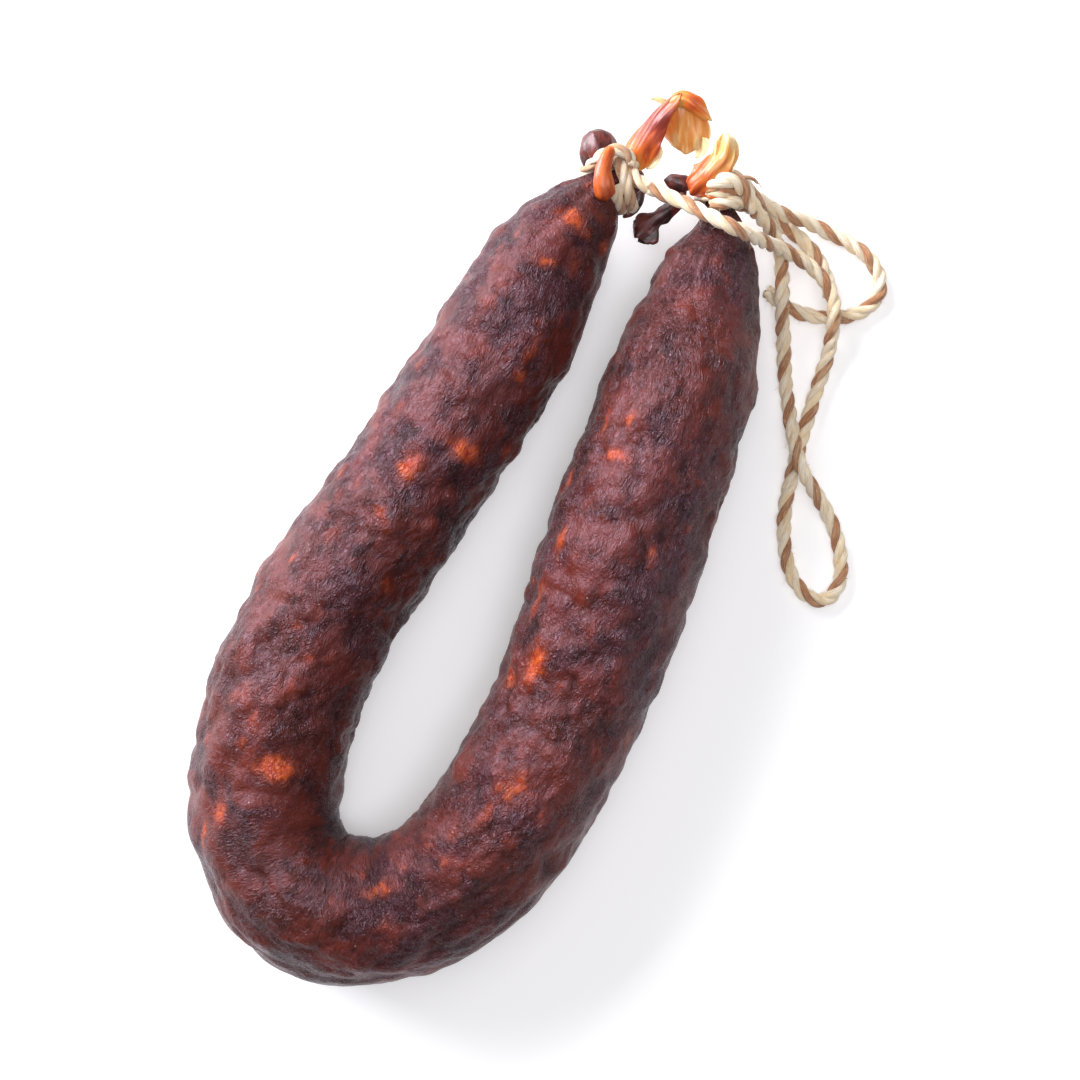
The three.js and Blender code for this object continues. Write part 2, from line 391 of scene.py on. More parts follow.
BOW_ROUTE = [
    (24.8, 89, 11), (27.4, 88.9, 9.2), (30.2, 88.8, 7.2), (33.2, 88.9, 5.2), (37, 89.6, 3.6),
    (41, 89.6, 1.9), (45, 89.4, 1.6), (49, 89, 1.6), (53.6, 87.6, 1.6), (57.2, 84.8, 1.6),
    (58.6, 80.8, 1.6), (57.4, 77.2, 1.6), (54.4, 74.2, 1.6), (50.4, 72.2, 1.6), (46.4, 71, 1.6),
    (42.6, 70.8, 1.6), (39, 71.4, 1.6), (35.6, 72.4, 1.8),
]
TUCK_ROUTE = [
    (24.6, 87.4, 7.4), (27.2, 87.3, 5.4), (30, 87.3, 3.2), (33, 87.1, 1.8), (36.6, 86.5, 1.6),
    (39.8, 85.3, 1.6), (42.8, 83.6, 1.6), (45.4, 81.4, 1.6), (47.6, 79, 1.6), (48.9, 76.4, 1.6),
]
print("free stretches:", len(LOOP_ROUTE), len(BOW_ROUTE), len(TUCK_ROUTE), "points")

# %% [markdown]
# The finish of the twine is fibre: fine streaks that run along each yarn, lighter and darker, with a
# dull sheen. The mesh stores which yarn a point is on and where it is along that yarn, so the streaks
# follow the twist.

# %% Twine finish
CREAM, PALE_CREAM, STRAW = shade("fbe5ba"), shade("fff4dc"), shade("ddb27c")
BROWN, DARK_BROWN = shade("cf9768"), shade("966242")

twine_finish = Finish(
    "twine",
    Roughness=0.82,
    Sheen_Weight=0.35,
    Sheen_Roughness=0.5,
    Specular_IOR_Level=0.25,
)
grain = twine_finish.stored("grain", "Vector")
fibres = twine_finish.cloud(grain * (0.1, 1, 1), 0.2, detail=4, roughness=0.65)
clumps = twine_finish.cloud(grain * (0.35, 1, 1), 1.3, detail=2)
cream = twine_finish.mix(clumps.between(0.42, 0.66), PALE_CREAM, CREAM)
cream = twine_finish.mix(fibres.between(0.46, 0.68) * 0.7, cream, STRAW)
brown = twine_finish.mix(fibres.between(0.38, 0.66), DARK_BROWN, BROWN)
brown = twine_finish.mix(clumps.between(0.5, 0.75) * 0.35, brown, CREAM)
twine_finish.feed(
    Base_Color=twine_finish.mix(twine_finish.stored("brown") * (0.8 + clumps * 0.4), cream, brown),
    Normal=twine_finish.bump(fibres, 1.0, 0.3),
)
print("twine finish:", len(twine_finish.tree.nodes), "nodes")

# %% [markdown]
# One function lays the three yarns along any route. It is used for the free stretches and again for the
# ties. A yarn isn't perfectly even, so its thickness and its distance from the middle drift a little
# along the way.

# %% Twine maker
def drift(places, size, seed):
    """Smooth noise from -1 to 1 along places."""
    return np.array([noise.noise(Vector((p / size, seed * 7.3, 1.7))) for p in places])


def yarn_tube(skin, centre, run, thick, colour, seed):
    """One yarn: a tube with shallow grooves between its fibres."""
    _, side, top = turning_axes(centre)
    around = np.linspace(0, 2 * math.pi, YARN_SIDES, endpoint=False)
    grooves = np.array([
        [noise.noise(Vector((0.35 * r, 2.4 * math.cos(a) + seed, 2.4 * math.sin(a)))) for a in around]
        for r in run
    ])
    reach = (thick[:, None] * (1 + 0.13 * grooves))[..., None]
    rings = centre[:, None] + reach * round_about(around, side, top)
    rings[..., 2] = np.maximum(rings[..., 2], 0)
    yarn_places = together(
        run[:, None] + 37 * seed,
        YARN * np.cos(around) + 5 * seed,
        YARN * np.sin(around),
    )
    skin.add_rings(rings, grain=yarn_places, brown=colour)


def stray_fibres(skin, line, count, seed, reach=(0.6, 2.4)):
    """Fine curved hairs that stand a little off the twine."""
    chance = random.Random(seed)
    for _ in range(count):
        start = line[chance.randrange(len(line) - 1)]
        away = Vector([chance.gauss(0, 1) for _ in range(3)]).normalized()
        drift_to = Vector([chance.gauss(0, 1) for _ in range(3)]).normalized()
        length = chance.uniform(*reach)
        steps = np.linspace(0, 1, 6)[:, None]
        middle = start + np.array(away) * (TWINE / 2 - 0.4) + length * (
            0.6 * steps * np.array(away) + 0.7 * steps**2 * np.array(drift_to)
        )
        _, side, top = turning_axes(middle)
        around = np.linspace(0, 2 * math.pi, 4, endpoint=False)
        hair = FIBRE_RADIUS * (1.2 - steps)
        rings = middle[:, None] + hair[..., None] * round_about(around, side, top)
        rings[..., 2] = np.maximum(rings[..., 2], 0)
        skin.add_rings(rings, grain=rings, brown=float(chance.random() < 0.35))


def lay_twine(skin, route, seed, scale=1.0, phase=0.0, ends=(1.0, 1.0), yarns=YARNS):
    """Adds the three yarns of a twine that follows route, and gives its even middle line."""
    middle, run = even_line(route, YARN_STEP)
    _, side, top = turning_axes(middle)
    taper = np.minimum(1, ends[0] + run / 2.5) * np.minimum(1, ends[1] + (run[-1] - run) / 2.5)
    for number, colour in enumerate(yarns):
        orbit = 2 * math.pi * (run / LAY_LENGTH + number / 3) + phase + 0.25 * drift(run, 14, seed)
        reach = scale * YARN_ORBIT * (1 + 0.16 * drift(run, 5, seed + number))
        centre = middle + reach[:, None] * (np.cos(orbit)[:, None] * side + np.sin(orbit)[:, None] * top)
        thick = scale * YARN * taper * (1 + 0.13 * drift(run, 3.5, seed + 10 + number))
        yarn_tube(skin, centre, run, thick, colour, seed + 3 * number)
    stray_fibres(skin, middle, round(FIBRES_PER_MM * run[-1]), seed)
    return middle


def free_twine(name, node, route, seed, worn=()):
    """A free stretch of twine, fluffed up round the worn places."""
    skin = Skin()
    middle = lay_twine(skin, route, seed)
    for number, place in enumerate(worn):
        nearest = np.linalg.norm(middle - place, axis=1).argmin()
        fluffed = middle[max(nearest - 6, 0):nearest + 6]
        stray_fibres(skin, fluffed, WORN_FIBRES, seed + 50 + number, (0.9, 1.9))
    made = skin.piece(name, twine_finish, "twine", node)
    print(f"{name} is {np.linalg.norm(np.diff(middle, axis=0), axis=1).sum():.1f} mm long")


# %% Free twine
LOOP_WORN = [(42, 73, 3), (53.5, 44.4, 3), (58.7, 41.8, 4), (26, 86, 13)]
BOW_WORN = [(30.4, 89, 7), (35.6, 72.4, 2)]

free_twine("hanging_loop", "twine_loop", LOOP_ROUTE, 1, worn=LOOP_WORN)
free_twine("side_bow", "twine_bow", BOW_ROUTE, 2, worn=BOW_WORN)
free_twine("tucked_end", "twine_tuck", TUCK_ROUTE, 3)

# %% [markdown]
# Each end of the sausage is tied by winding the same twine twice round the neck and knotting it on top.
# The windings are circles round the neck that step sideways as they go, and the knot is a few short
# humped strands that cross them. They are laid as twine too, so the brown yarn runs through the whole
# tie.

# %% Winding
def wind(centre, heading, radius, turns, start, pitch):
    """A winding round a level neck, as a list of points."""
    axis = np.array([math.cos(math.radians(heading)), math.sin(math.radians(heading)), 0])
    side = np.array([-axis[1], axis[0], 0])
    up = np.array([0, 0, 1])
    angles = math.radians(start) + np.linspace(0, 2 * math.pi * turns, round(14 * turns) + 1)
    steps = pitch * ((angles - angles[0]) / (2 * math.pi) - turns / 2)
    return [
        tuple(np.array(centre) + axis * step + radius * (math.cos(a) * side + math.sin(a) * up))
        for a, step in zip(angles, steps)
    ]


print("a winding of two turns:", len(wind((0, 0, 0), 0, 5, 2, 0, 2.5)), "points")

# %% Left tie
TIE_LEFT_MIDDLE = (-2.1, 80.9, 13)
WORN_YARNS = [0.35, 0.15, 0.95]

tie_left = Skin()
left_turns = wind(TIE_LEFT_MIDDLE, 34, 5.3, 1.9, 100, 2.5)
lay_twine(tie_left, left_turns, 11, scale=0.85, phase=2.6, yarns=WORN_YARNS)

LEFT_KNOT = [
    (-11.4, 79, 9.5), (-10.6, 80.2, 13.5), (-9.5, 82.1, 16.4), (-8.1, 84.2, 18), (-6.5, 85.7, 18.6),
    (-4.5, 86.3, 18.4), (-2.9, 85.6, 17.8), (-1.9, 84, 16.8),
]
lay_twine(tie_left, LEFT_KNOT, 12, scale=0.85, phase=1.0, ends=(0.3, 0.2), yarns=[0.05, 0.0, 0.8])

LEFT_TO_LOOP = [(-2.8, 84, 15.4), (-0.8, 82.6, 16.9), (1.2, 81.6, 17.5), (3.4, 81.4, 17.4)]
lay_twine(tie_left, LEFT_TO_LOOP, 13, ends=(0.3, 1.0))
tie_left.piece("left_binding", twine_finish, "twine", "tie_left")

# %% Right tie
TIE_RIGHT_MIDDLE = (17.8, 86.1, 13)

tie_right = Skin()
right_turns = wind(TIE_RIGHT_MIDDLE, 115, 4.3, 2.1, 60, 2.5)
lay_twine(tie_right, right_turns, 21, scale=0.9, phase=0.5)

RIGHT_KNOT = [
    (14.6, 85.4, 15.5), (16.2, 87.2, 18.4), (18.8, 89.2, 18.8), (21.8, 88.9, 17.2), (24, 87.4, 15),
    (25.8, 86.2, 13.4),
]
lay_twine(tie_right, RIGHT_KNOT, 22, scale=1.1, ends=(0.3, 1.0))

RIGHT_TO_BOW = [(17, 89.8, 15.4), (19.6, 90.6, 15.6), (22, 90, 13.6), (24.8, 89, 11)]
lay_twine(tie_right, RIGHT_TO_BOW, 23, ends=(0.3, 1.0))

RIGHT_TO_TUCK = [(20, 85.4, 8.8), (22.2, 86.6, 8.6), (24.6, 87.4, 7.4)]
lay_twine(tie_right, RIGHT_TO_TUCK, 24, ends=(0.3, 1.0))

FRAYED_END = [
    (18.8, 88.2, 18.6), (19.9, 89.4, 18.4), (21.5, 90.9, 18), (23, 91.3, 17.6), (24.4, 91, 17),
]
frayed, frayed_run = even_line(FRAYED_END, 0.3)
yarn_tube(tie_right, frayed, frayed_run, 0.75 * np.linspace(1, 0.35, len(frayed_run)), 1.0, 25)
stray_fibres(tie_right, frayed[-6:] - (0, 0, 0.8), 40, 26, (1.2, 2.6))
tie_right.piece("right_binding", twine_finish, "twine", "tie_right")

# %% [markdown]
# ## The sausage
# The meat mince was piped into a gut casing, so the body is a round tube on a bent centre line,
# thinning to a tied neck at both ends. As it dried the casing shrank onto the mince: broad swells,
# lumps the size of the mince, folds across the inside of the bend, pleats at the necks, and a fine
# leathery wrinkling over everything. Sculpting by hand would not repeat from run to run, so each of
# these is a layer of seeded noise or a formula that moves the surface in or out. All of it is real
# geometry; the shader adds only what is finer than the mesh.

# %% Sausage line
SETTLE = 1.0
NECK_HEIGHT = 13.0
# Each row: x and y of the middle line, and the radius there.
SAUSAGE_STATIONS = [
    (0.2, 82, 3.2), (-2.4, 80.6, 3.1), (-5.2, 77.8, 4.6), (-7.4, 72.3, 8.4), (-9.8, 65.2, 11.2),
    (-11.6, 56, 13.2), (-12.6, 47, 14.5), (-14.4, 33, 15), (-18, 14, 15.3), (-22.6, -8, 15.6),
    (-26.8, -28, 16.1), (-28, -48, 16.5), (-25.5, -65, 16.2), (-19, -79, 15.9), (-6.5, -86.5, 16.1),
    (7, -83.5, 16), (18, -74, 15.8), (24, -61.5, 16.3), (27, -46, 16.7), (28.4, -28, 16.3),
    (28.2, -8, 17), (27, 12, 17.1), (26.3, 31, 16.7), (25.3, 46, 16), (24.2, 58, 13.7),
    (22.6, 68, 11.2), (21.8, 75, 8.6), (20.4, 80.4, 4.9), (18.4, 84.6, 3), (16.7, 88.3, 2.8),
]
RINGS = 600
SIDES = 160

rows, run = even_line(SAUSAGE_STATIONS, 0.2)
keep = np.linspace(0, len(rows) - 1, RINGS).astype(int)
rows, run = rows[keep], run[keep]
radius = np.maximum(rows[:, 2], 2.4)
height = np.maximum(radius - SETTLE, NECK_HEIGHT)
height = np.convolve(np.pad(height, 12, mode="edge"), np.ones(25) / 25, mode="valid")
centre = np.column_stack([rows[:, 0], rows[:, 1], height])
forward, across, upward = level_axes(centre)
turn = np.linspace(0, 2 * math.pi, SIDES, endpoint=False)
outward = round_about(turn, across, upward)
straight = together(run[:, None], radius[:, None] * np.cos(turn), radius[:, None] * np.sin(turn))
print(f"the sausage is {run[-1]:.0f} mm along its middle and {2 * radius.max():.0f} mm thick")

# %% [markdown]
# The noise is read in the sausage's straightened-out coordinates: how far along, and where around. That
# keeps lumps the same size on the inside and the outside of the bend, and lets wrinkles be stretched
# along the skin.

# %% Noise layers
flat_places = straight.reshape(-1, 3)


def field(size, seed, stretch=(1, 1, 1)):
    """Smooth noise from -1 to 1 over the whole skin, with blotches of the given size."""
    scaled = flat_places * np.array(stretch) / size + np.array([seed * 11.3, seed * 5.1, seed * 3.7])
    return np.array([noise.noise(p) for p in scaled.tolist()]).reshape(RINGS, SIDES)


def creased(size, seed, stretch=(1, 1, 1), sharpness=3.0):
    """1 along thin branching lines and 0 between them."""
    return np.maximum(0, 1 - sharpness * np.abs(field(size, seed, stretch))) ** 2


swell = field(34, 1)
lumps = 0.8 * field(12, 2) + 0.95 * field(6.2, 3) + 0.4 * field(3.1, 10)
leather_folds = creased(14, 12, (0.7, 1, 1), sharpness=4) * np.clip(0.3 + 1.5 * field(20, 13), 0, 1)
facets = creased(8, 15, (0.8, 1, 1), sharpness=2.5)
wrinkle_mask = np.clip(0.55 + 1.3 * field(26, 4), 0.15, 1)
wrinkles = creased(5.5, 5, (0.75, 1, 1)) + 0.8 * creased(3.1, 6, (0.8, 1, 1)) + 0.6 * creased(1.9, 7)
print("skin points:", lumps.size, "lumps from", lumps.min().round(2), "to", lumps.max().round(2))

# %% Folds of the bend and pleats of the necks
soften = np.hanning(41) / np.hanning(41).sum()
bending = np.gradient(forward, run, axis=0)
bending = np.stack([np.convolve(column, soften, mode="same") for column in bending.T], axis=1)
bend_amount = np.clip(np.linalg.norm(bending, axis=1) * 26 - 0.1, 0, 1)
inside = np.einsum("rsk,rk->rs", outward, unit(bending)) * bend_amount[:, None]
bend_folds = field(5.6, 8, (1, 0.16, 0.16)) * (0.6 + 0.4 * inside) * bend_amount[:, None]
calm = 1 - 0.65 * np.clip(inside, 0, 1)
neck_near = np.exp(-run / 13) + np.exp(-(run[-1] - run) / 13)
pleat_wave = np.cos(11 * turn[None, :] + 2.2 * field(30, 9)) + 0.6 * np.cos(17 * turn[None, :] + 3)
print("bend folds reach", bend_folds.max().round(2), "mm")

# %% Sausage surface
stretch = 0.5 + 0.9 * bend_amount
grain_run = np.concatenate([[0], np.cumsum(0.5 * (stretch[1:] + stretch[:-1]) * np.diff(run))])
grain_round = (1 - 0.4 * bend_amount)[:, None] * radius[:, None]
skin_grain = together(grain_run[:, None], grain_round * np.cos(turn), grain_round * np.sin(turn))
relief = calm * (
    0.55 * swell
    + 0.95 * lumps * np.clip(radius / 14, 0.2, 1)[:, None]
    - 0.3 * wrinkle_mask * wrinkles * np.clip(radius / 12, 0.3, 1)[:, None]
    - 0.5 * leather_folds * np.clip(radius / 14, 0, 1)[:, None]
    - 0.4 * facets * np.clip(radius / 14, 0, 1)[:, None]
    + 1.0 * bend_folds
    + 0.34 * pleat_wave * neck_near[:, None] * np.clip(radius / 6, 0.5, 1)[:, None]
)
skin_points = centre[:, None] + outward * (radius[:, None] + relief)[..., None]
skin_points[..., 2] = np.maximum(skin_points[..., 2], 0)
print("relief from", relief.min().round(2), "to", relief.max().round(2), "mm")

# %% [markdown]
# Under the casing lie pieces of fat stained orange by the paprika. They show as soft streaky patches,
# and are placed here as flattened spots on the skin: the ones on top by how far along they are and how
# far to the side of the middle line, and the hidden side by chance. Each point of the skin stores how
# much fat shows there.

# %% Fat pieces
# Each row: mm along the sausage, share of the radius towards the inner side, length, width, strength.
SHOWN_FAT = [
    (20, -0.3, 3, 2.5, 0.6), (19, 0, 4, 5, 1), (20, 0.4, 3, 3, 0.7), (19, 0.85, 4, 3.5, 0.8),
    (27, 0.5, 6, 2.5, 0.6), (30, 0.1, 3, 3, 0.8), (28, -0.65, 2, 2, 0.7), (40, -0.4, 2, 2, 0.5),
    (43, 0.35, 2.5, 2, 0.4), (48, 0.45, 6.5, 3, 0.7), (54, 0.5, 3.5, 3.5, 0.8), (62, 0.1, 3, 2.5, 0.5),
    (73, 0.4, 4, 7.5, 1), (82, -0.1, 6.5, 4, 1), (81, 0.33, 3, 3, 0.35), (94, -0.1, 3.5, 3.5, 0.7),
    (79, -0.8, 1.5, 1.5, 0.6), (91, -0.85, 3, 3, 0.7), (100, -0.8, 4, 4, 0.35),
    (112, -0.7, 3, 2.5, 0.8), (120, -0.9, 2.5, 2, 0.6), (105, 0.55, 3.5, 4.5, 0.8),
    (114, 0.4, 2.5, 2.5, 0.35), (97, 0.4, 2.5, 2.5, 0.3), (127, 0.15, 2, 2.5, 0.7),
    (151, 0.2, 4.5, 7.5, 1.1), (139, -0.5, 3.5, 3.5, 0.5), (161, 0.6, 3, 3, 0.3),
    (167, 0.35, 3, 3, 0.3), (161, -0.5, 4.5, 2.5, 0.8), (165, -0.75, 5.5, 2, 0.8),
    (173, -0.7, 2.5, 2.5, 0.5), (202, 0.4, 7, 3, 0.9), (210, 0.6, 3, 3, 0.6), (221, 0.35, 3, 3, 0.7),
    (218, -0.7, 3, 3, 0.4), (236, 0.3, 5.5, 2, 0.7), (243, 0.2, 7, 6.5, 0.9), (264, 0.85, 5.5, 2.5, 1),
    (269, 0.6, 8.5, 4.5, 1.1), (272, -0.4, 3, 3, 0.35), (277, -0.85, 6.5, 2, 0.5),
    (282, 0.85, 8.5, 2, 0.8), (285, 0.35, 3, 3, 0.4), (285, -0.75, 3, 3, 0.35), (295, 0.8, 5, 2.5, 1),
    (299, -0.3, 4, 3, 0.7), (296, -0.35, 2.5, 2.5, 0.5), (306, -0.65, 2, 2, 0.6),
    (304, -0.3, 2.5, 2.5, 0.4), (307, 0.95, 4, 2, 0.9), (315, 0.5, 3, 5.5, 1), (316, -0.95, 5, 2, 0.5),
    (321, 0.8, 6.5, 2, 0.8), (323, 0.5, 3, 2, 0.9), (325, -0.1, 3, 3, 0.35),
]
HIDDEN_FAT = 90
FAINT_FAT = 560


def chance_fat(count, strengths, low_angle, high_angle):
    """Random fat pieces between two angles round the sausage, 90 degrees being the top."""
    rows = []
    for _ in range(count):
        angle = math.radians(dice.uniform(low_angle, high_angle))
        size = dice.uniform(1.2, 1.2 + 3.4 * strengths[1] ** 0.5)
        place = dice.uniform(8, run[-1] - 8)
        length = size * dice.uniform(1, 1.8)
        rows.append((place, angle, length, size, dice.uniform(*strengths)))
    return rows


dice = random.Random(7)
fat_rows = [(s, math.acos(c), length, width, power) for s, c, length, width, power in SHOWN_FAT]
fat_rows += chance_fat(HIDDEN_FAT, (0.4, 1.1), 188, 352)
fat_rows += chance_fat(FAINT_FAT, (0.15, 0.62), 0, 360)

ragged = field(2.6, 31), field(2.6, 32)
fat = np.zeros((RINGS, SIDES))
for place, angle, length, width, power in fat_rows:
    near = np.abs(run - place) < 1.8 * length
    gap_along = (run[near, None] - place + 1.2 * ragged[0][near]) / (0.7 * length)
    gap_round = (turn[None, :] - angle + math.pi) % (2 * math.pi) - math.pi
    gap_round = (gap_round * radius[near, None] + 1.2 * ragged[1][near]) / (0.7 * width)
    fat[near] = np.maximum(fat[near], power * np.exp(-(gap_along**2 + gap_round**2)))
skin_points[..., :] += outward * (0.16 * fat)[..., None]
print(f"fat shows on {100 * (fat > 0.4).mean():.0f} percent of the skin")

# %% [markdown]
# The skin's finish is built from what the surface stores. Dried lean meat is a deep maroon that wanders
# between brown-red and nearly black, and the fat shows through in streaky orange. The hollows of the
# wrinkles and the fine creases get painted shade, and pale dots are partly salt crystals and partly
# painted glints. The greasy gloss is uneven: dull where salt and starch have dried on, shinier on
# the swells.

# %% Sausage finish
BROWN_LEAN, PLUM_LEAN = shade("4e2018"), shade("431d20")
# The darkest lean colour is also the painted shade in the hollows and fine creases.
DARK_LEAN_AND_SHADE, RED_LEAN, SALT_AND_GLINT = shade("2a110c"), shade("642617"), shade("d8c8cc")
GLOW, FAT_RED, FAT_ORANGE = shade("702a16"), shade("963114"), shade("bb551f")

cured = Finish(
    "cured_skin",
    Specular_IOR_Level=0.36,
    Specular_Tint=(1.0, 0.8, 1.0, 1),
    Sheen_Weight=0.04,
    Sheen_Roughness=0.4,
    Sheen_Tint=(0.85, 0.7, 0.9, 1),
)
where = cured.stored("straight", "Vector")
broad = cured.cloud(where, 24, detail=2, roughness=0.5, distortion=0.2)
grained = cured.stored("grain", "Vector")
zones = cured.cloud(where, 10, detail=3, roughness=0.55, distortion=0.3)
patchy = cured.cloud(where, 5.5, detail=4, roughness=0.6, distortion=0.4)
streaky = cured.cloud(grained, 1.5, detail=4, roughness=0.65, distortion=0.8)
hairline = cured.cloud(grained, 0.55, detail=3, roughness=0.7, distortion=0.5)
leathery = cured.cloud(grained, 1.15, detail=3, roughness=0.6, distortion=0.9)
hollow_shade = cured.stored("furrow")
fat_here = cured.stored("fat") + (streaky - 0.5) * 0.5 + (patchy - 0.5) * 0.25
wrinkly = zones.between(0.4, 0.58)
network = cured.node("ShaderNodeMath", {"operation": "ABSOLUTE"}, {0: leathery - 0.5})
# Pale dots, partly salt crystals and partly painted glints.
salt_and_glint_dots = 1 - cured.cells(where, 3.6).between(0.02, 0.055)

meat = cured.mix(broad.between(0.4, 0.6), BROWN_LEAN, PLUM_LEAN)
meat = cured.mix(patchy.between(0.28, 0.6), DARK_LEAN_AND_SHADE, meat)
meat = cured.mix((1 - wrinkly) * (0.3 + streaky * 0.7), meat, RED_LEAN)
meat = cured.mix(fat_here.between(0.12, 0.6) * 0.75, meat, GLOW)
fat_colour = cured.mix(streaky.between(0.36, 0.64), FAT_RED, FAT_ORANGE)
meat = cured.mix(fat_here.between(0.45, 0.95), meat, fat_colour)
# Painted shade: darker in the dips of the fine hairline bump.
meat = cured.mix(hairline.between(0.5, 0.3) * 0.35, meat, DARK_LEAN_AND_SHADE)
# Painted shade: the hollows of the wrinkles and folds stored on the mesh are darkened.
meat = cured.mix(hollow_shade.between(0.15, 0.9) * 0.5, meat, DARK_LEAN_AND_SHADE)
# Painted glints and salt crystals: pale dots mixed into the skin.
meat = cured.mix(salt_and_glint_dots * 0.5, meat, SALT_AND_GLINT)

bumpy = cured.bump(streaky, 0.7, 0.5)
bumpy = cured.bump(network, 0.5 + wrinkly * 0.5, 1.2, onto=bumpy)
cured.feed(
    Base_Color=meat,
    Roughness=0.32 - wrinkly * 0.06 + (hairline - 0.5) * 0.35,
    Normal=cured.bump(hairline, 0.4, 0.2, onto=bumpy),
)

# How deep each point lies in a hollow, stored for the painted shade of the finish.
hollows = wrinkle_mask * wrinkles * 0.6 + 0.7 * leather_folds - 0.35 * lumps - 0.6 * bend_folds
body = Skin()
body.add_rings(
    skin_points,
    straight=straight,
    grain=skin_grain,
    fat=fat,
    furrow=np.clip(hollows, 0, 1),
)
body.piece("sausage_body", cured, "cured_skin", "sausage")

# %% [markdown]
# ## The dried casing at the ends
# Beyond each tie a little empty gut was left. Some of it dried flat and thin, so it is amber and lets
# light through; some folded back over the neck while it was still wet, and dried thick, purple-black
# and glossy. The thick lobes are lofted tubes with wrinkles; the thin tails are real sheets, with a
# front and a back face and a ragged edge, bent into folds by a formula across their width.

# %% Casing finishes
AMBER_STOPS = [
    (0.0, shade("54190f")),
    (0.25, shade("8e2a14")),
    (0.5, shade("cc631c")),
    (0.75, shade("cf9647")),
    (1.0, shade("eddcae")),
]

amber = Finish(
    "amber_casing",
    Specular_IOR_Level=0.6,
    Coat_Weight=0.3,
    Coat_Roughness=0.2,
    Subsurface_Weight=0.3,
    Subsurface_Radius=(1.0, 0.45, 0.18),
    Subsurface_Scale=0.0012,
)
sheet_place = amber.stored("place", "Vector")
tint = amber.stored("tint") + (amber.cloud(sheet_place * (0.3, 1, 1), 1.6, detail=3) - 0.5) * 0.65
veins = amber.cloud(sheet_place * (0.12, 1, 1), 0.5, detail=4, roughness=0.65)
amber.feed(
    Base_Color=amber.node("ShaderNodeValToRGB", {"stops": AMBER_STOPS}, {"Fac": tint + (veins - 0.5) * 0.4}),
    Roughness=0.3 + veins * 0.2,
    Normal=amber.bump(veins, 0.5, 0.18),
)

dark = Finish("dark_casing", Specular_IOR_Level=0.55, Coat_Weight=0.35, Coat_Roughness=0.22)
lobe_place = dark.stored("place", "Vector")
lobe_patches = dark.cloud(lobe_place, 3, detail=4, roughness=0.6)
lobe_grain = dark.cloud(lobe_place * (0.4, 1, 1), 0.6, detail=4, roughness=0.6)
dark.feed(
    Base_Color=dark.mix(lobe_patches.between(0.38, 0.62), shade("2c1011"), shade("662620")),
    Roughness=0.3 + lobe_grain * 0.22,
    Normal=dark.bump(lobe_grain, 0.7, 0.3),
)
print("casing finishes:", amber.material.name, dark.material.name)

# %% Casing makers
LOBE_SIDES = 40
LOBE_STEP = 0.3
SHEET_SIDES = 25
SHEET_STEP = 0.25


def lobe(skin, route, seed, wrinkle=0.35, tint=0.0):
    """A closed lump of thick dried casing. Each row of route: x, y, z, half width, half thickness."""
    rows, run = even_line(route, LOBE_STEP)
    middle, halves = rows[:, :3], rows[:, 3:]
    halves = halves * np.minimum(1, np.sqrt(np.minimum(run, run[-1] - run) / 1.4 + 0.02))[:, None]
    _, side, top = level_axes(middle)
    around = np.linspace(0, 2 * math.pi, LOBE_SIDES, endpoint=False)
    shape = (
        halves[:, None, :1] * np.cos(around)[None, :, None] * side[:, None]
        + halves[:, None, 1:] * np.sin(around)[None, :, None] * top[:, None]
    )
    places = together(
        run[:, None] + seed * 9,
        halves[:, :1] * np.cos(around),
        halves[:, 1:] * np.sin(around),
    )
    bumps = np.array([
        noise.noise(Vector((p[0] * 0.25, p[1] * 0.6, p[2] * 0.6 + seed)))
        + 0.25 * noise.noise(Vector(p) * 0.9)
        for p in places.reshape(-1, 3).tolist()
    ]).reshape(len(run), LOBE_SIDES)
    thin_calm = np.minimum(1, halves.min(axis=1) / 0.8)[:, None]
    points = middle[:, None] + shape + unit(shape) * (wrinkle * bumps * thin_calm)[..., None]
    points[..., 2] = np.maximum(points[..., 2], 0)
    skin.add_rings(points, place=places, tint=tint)


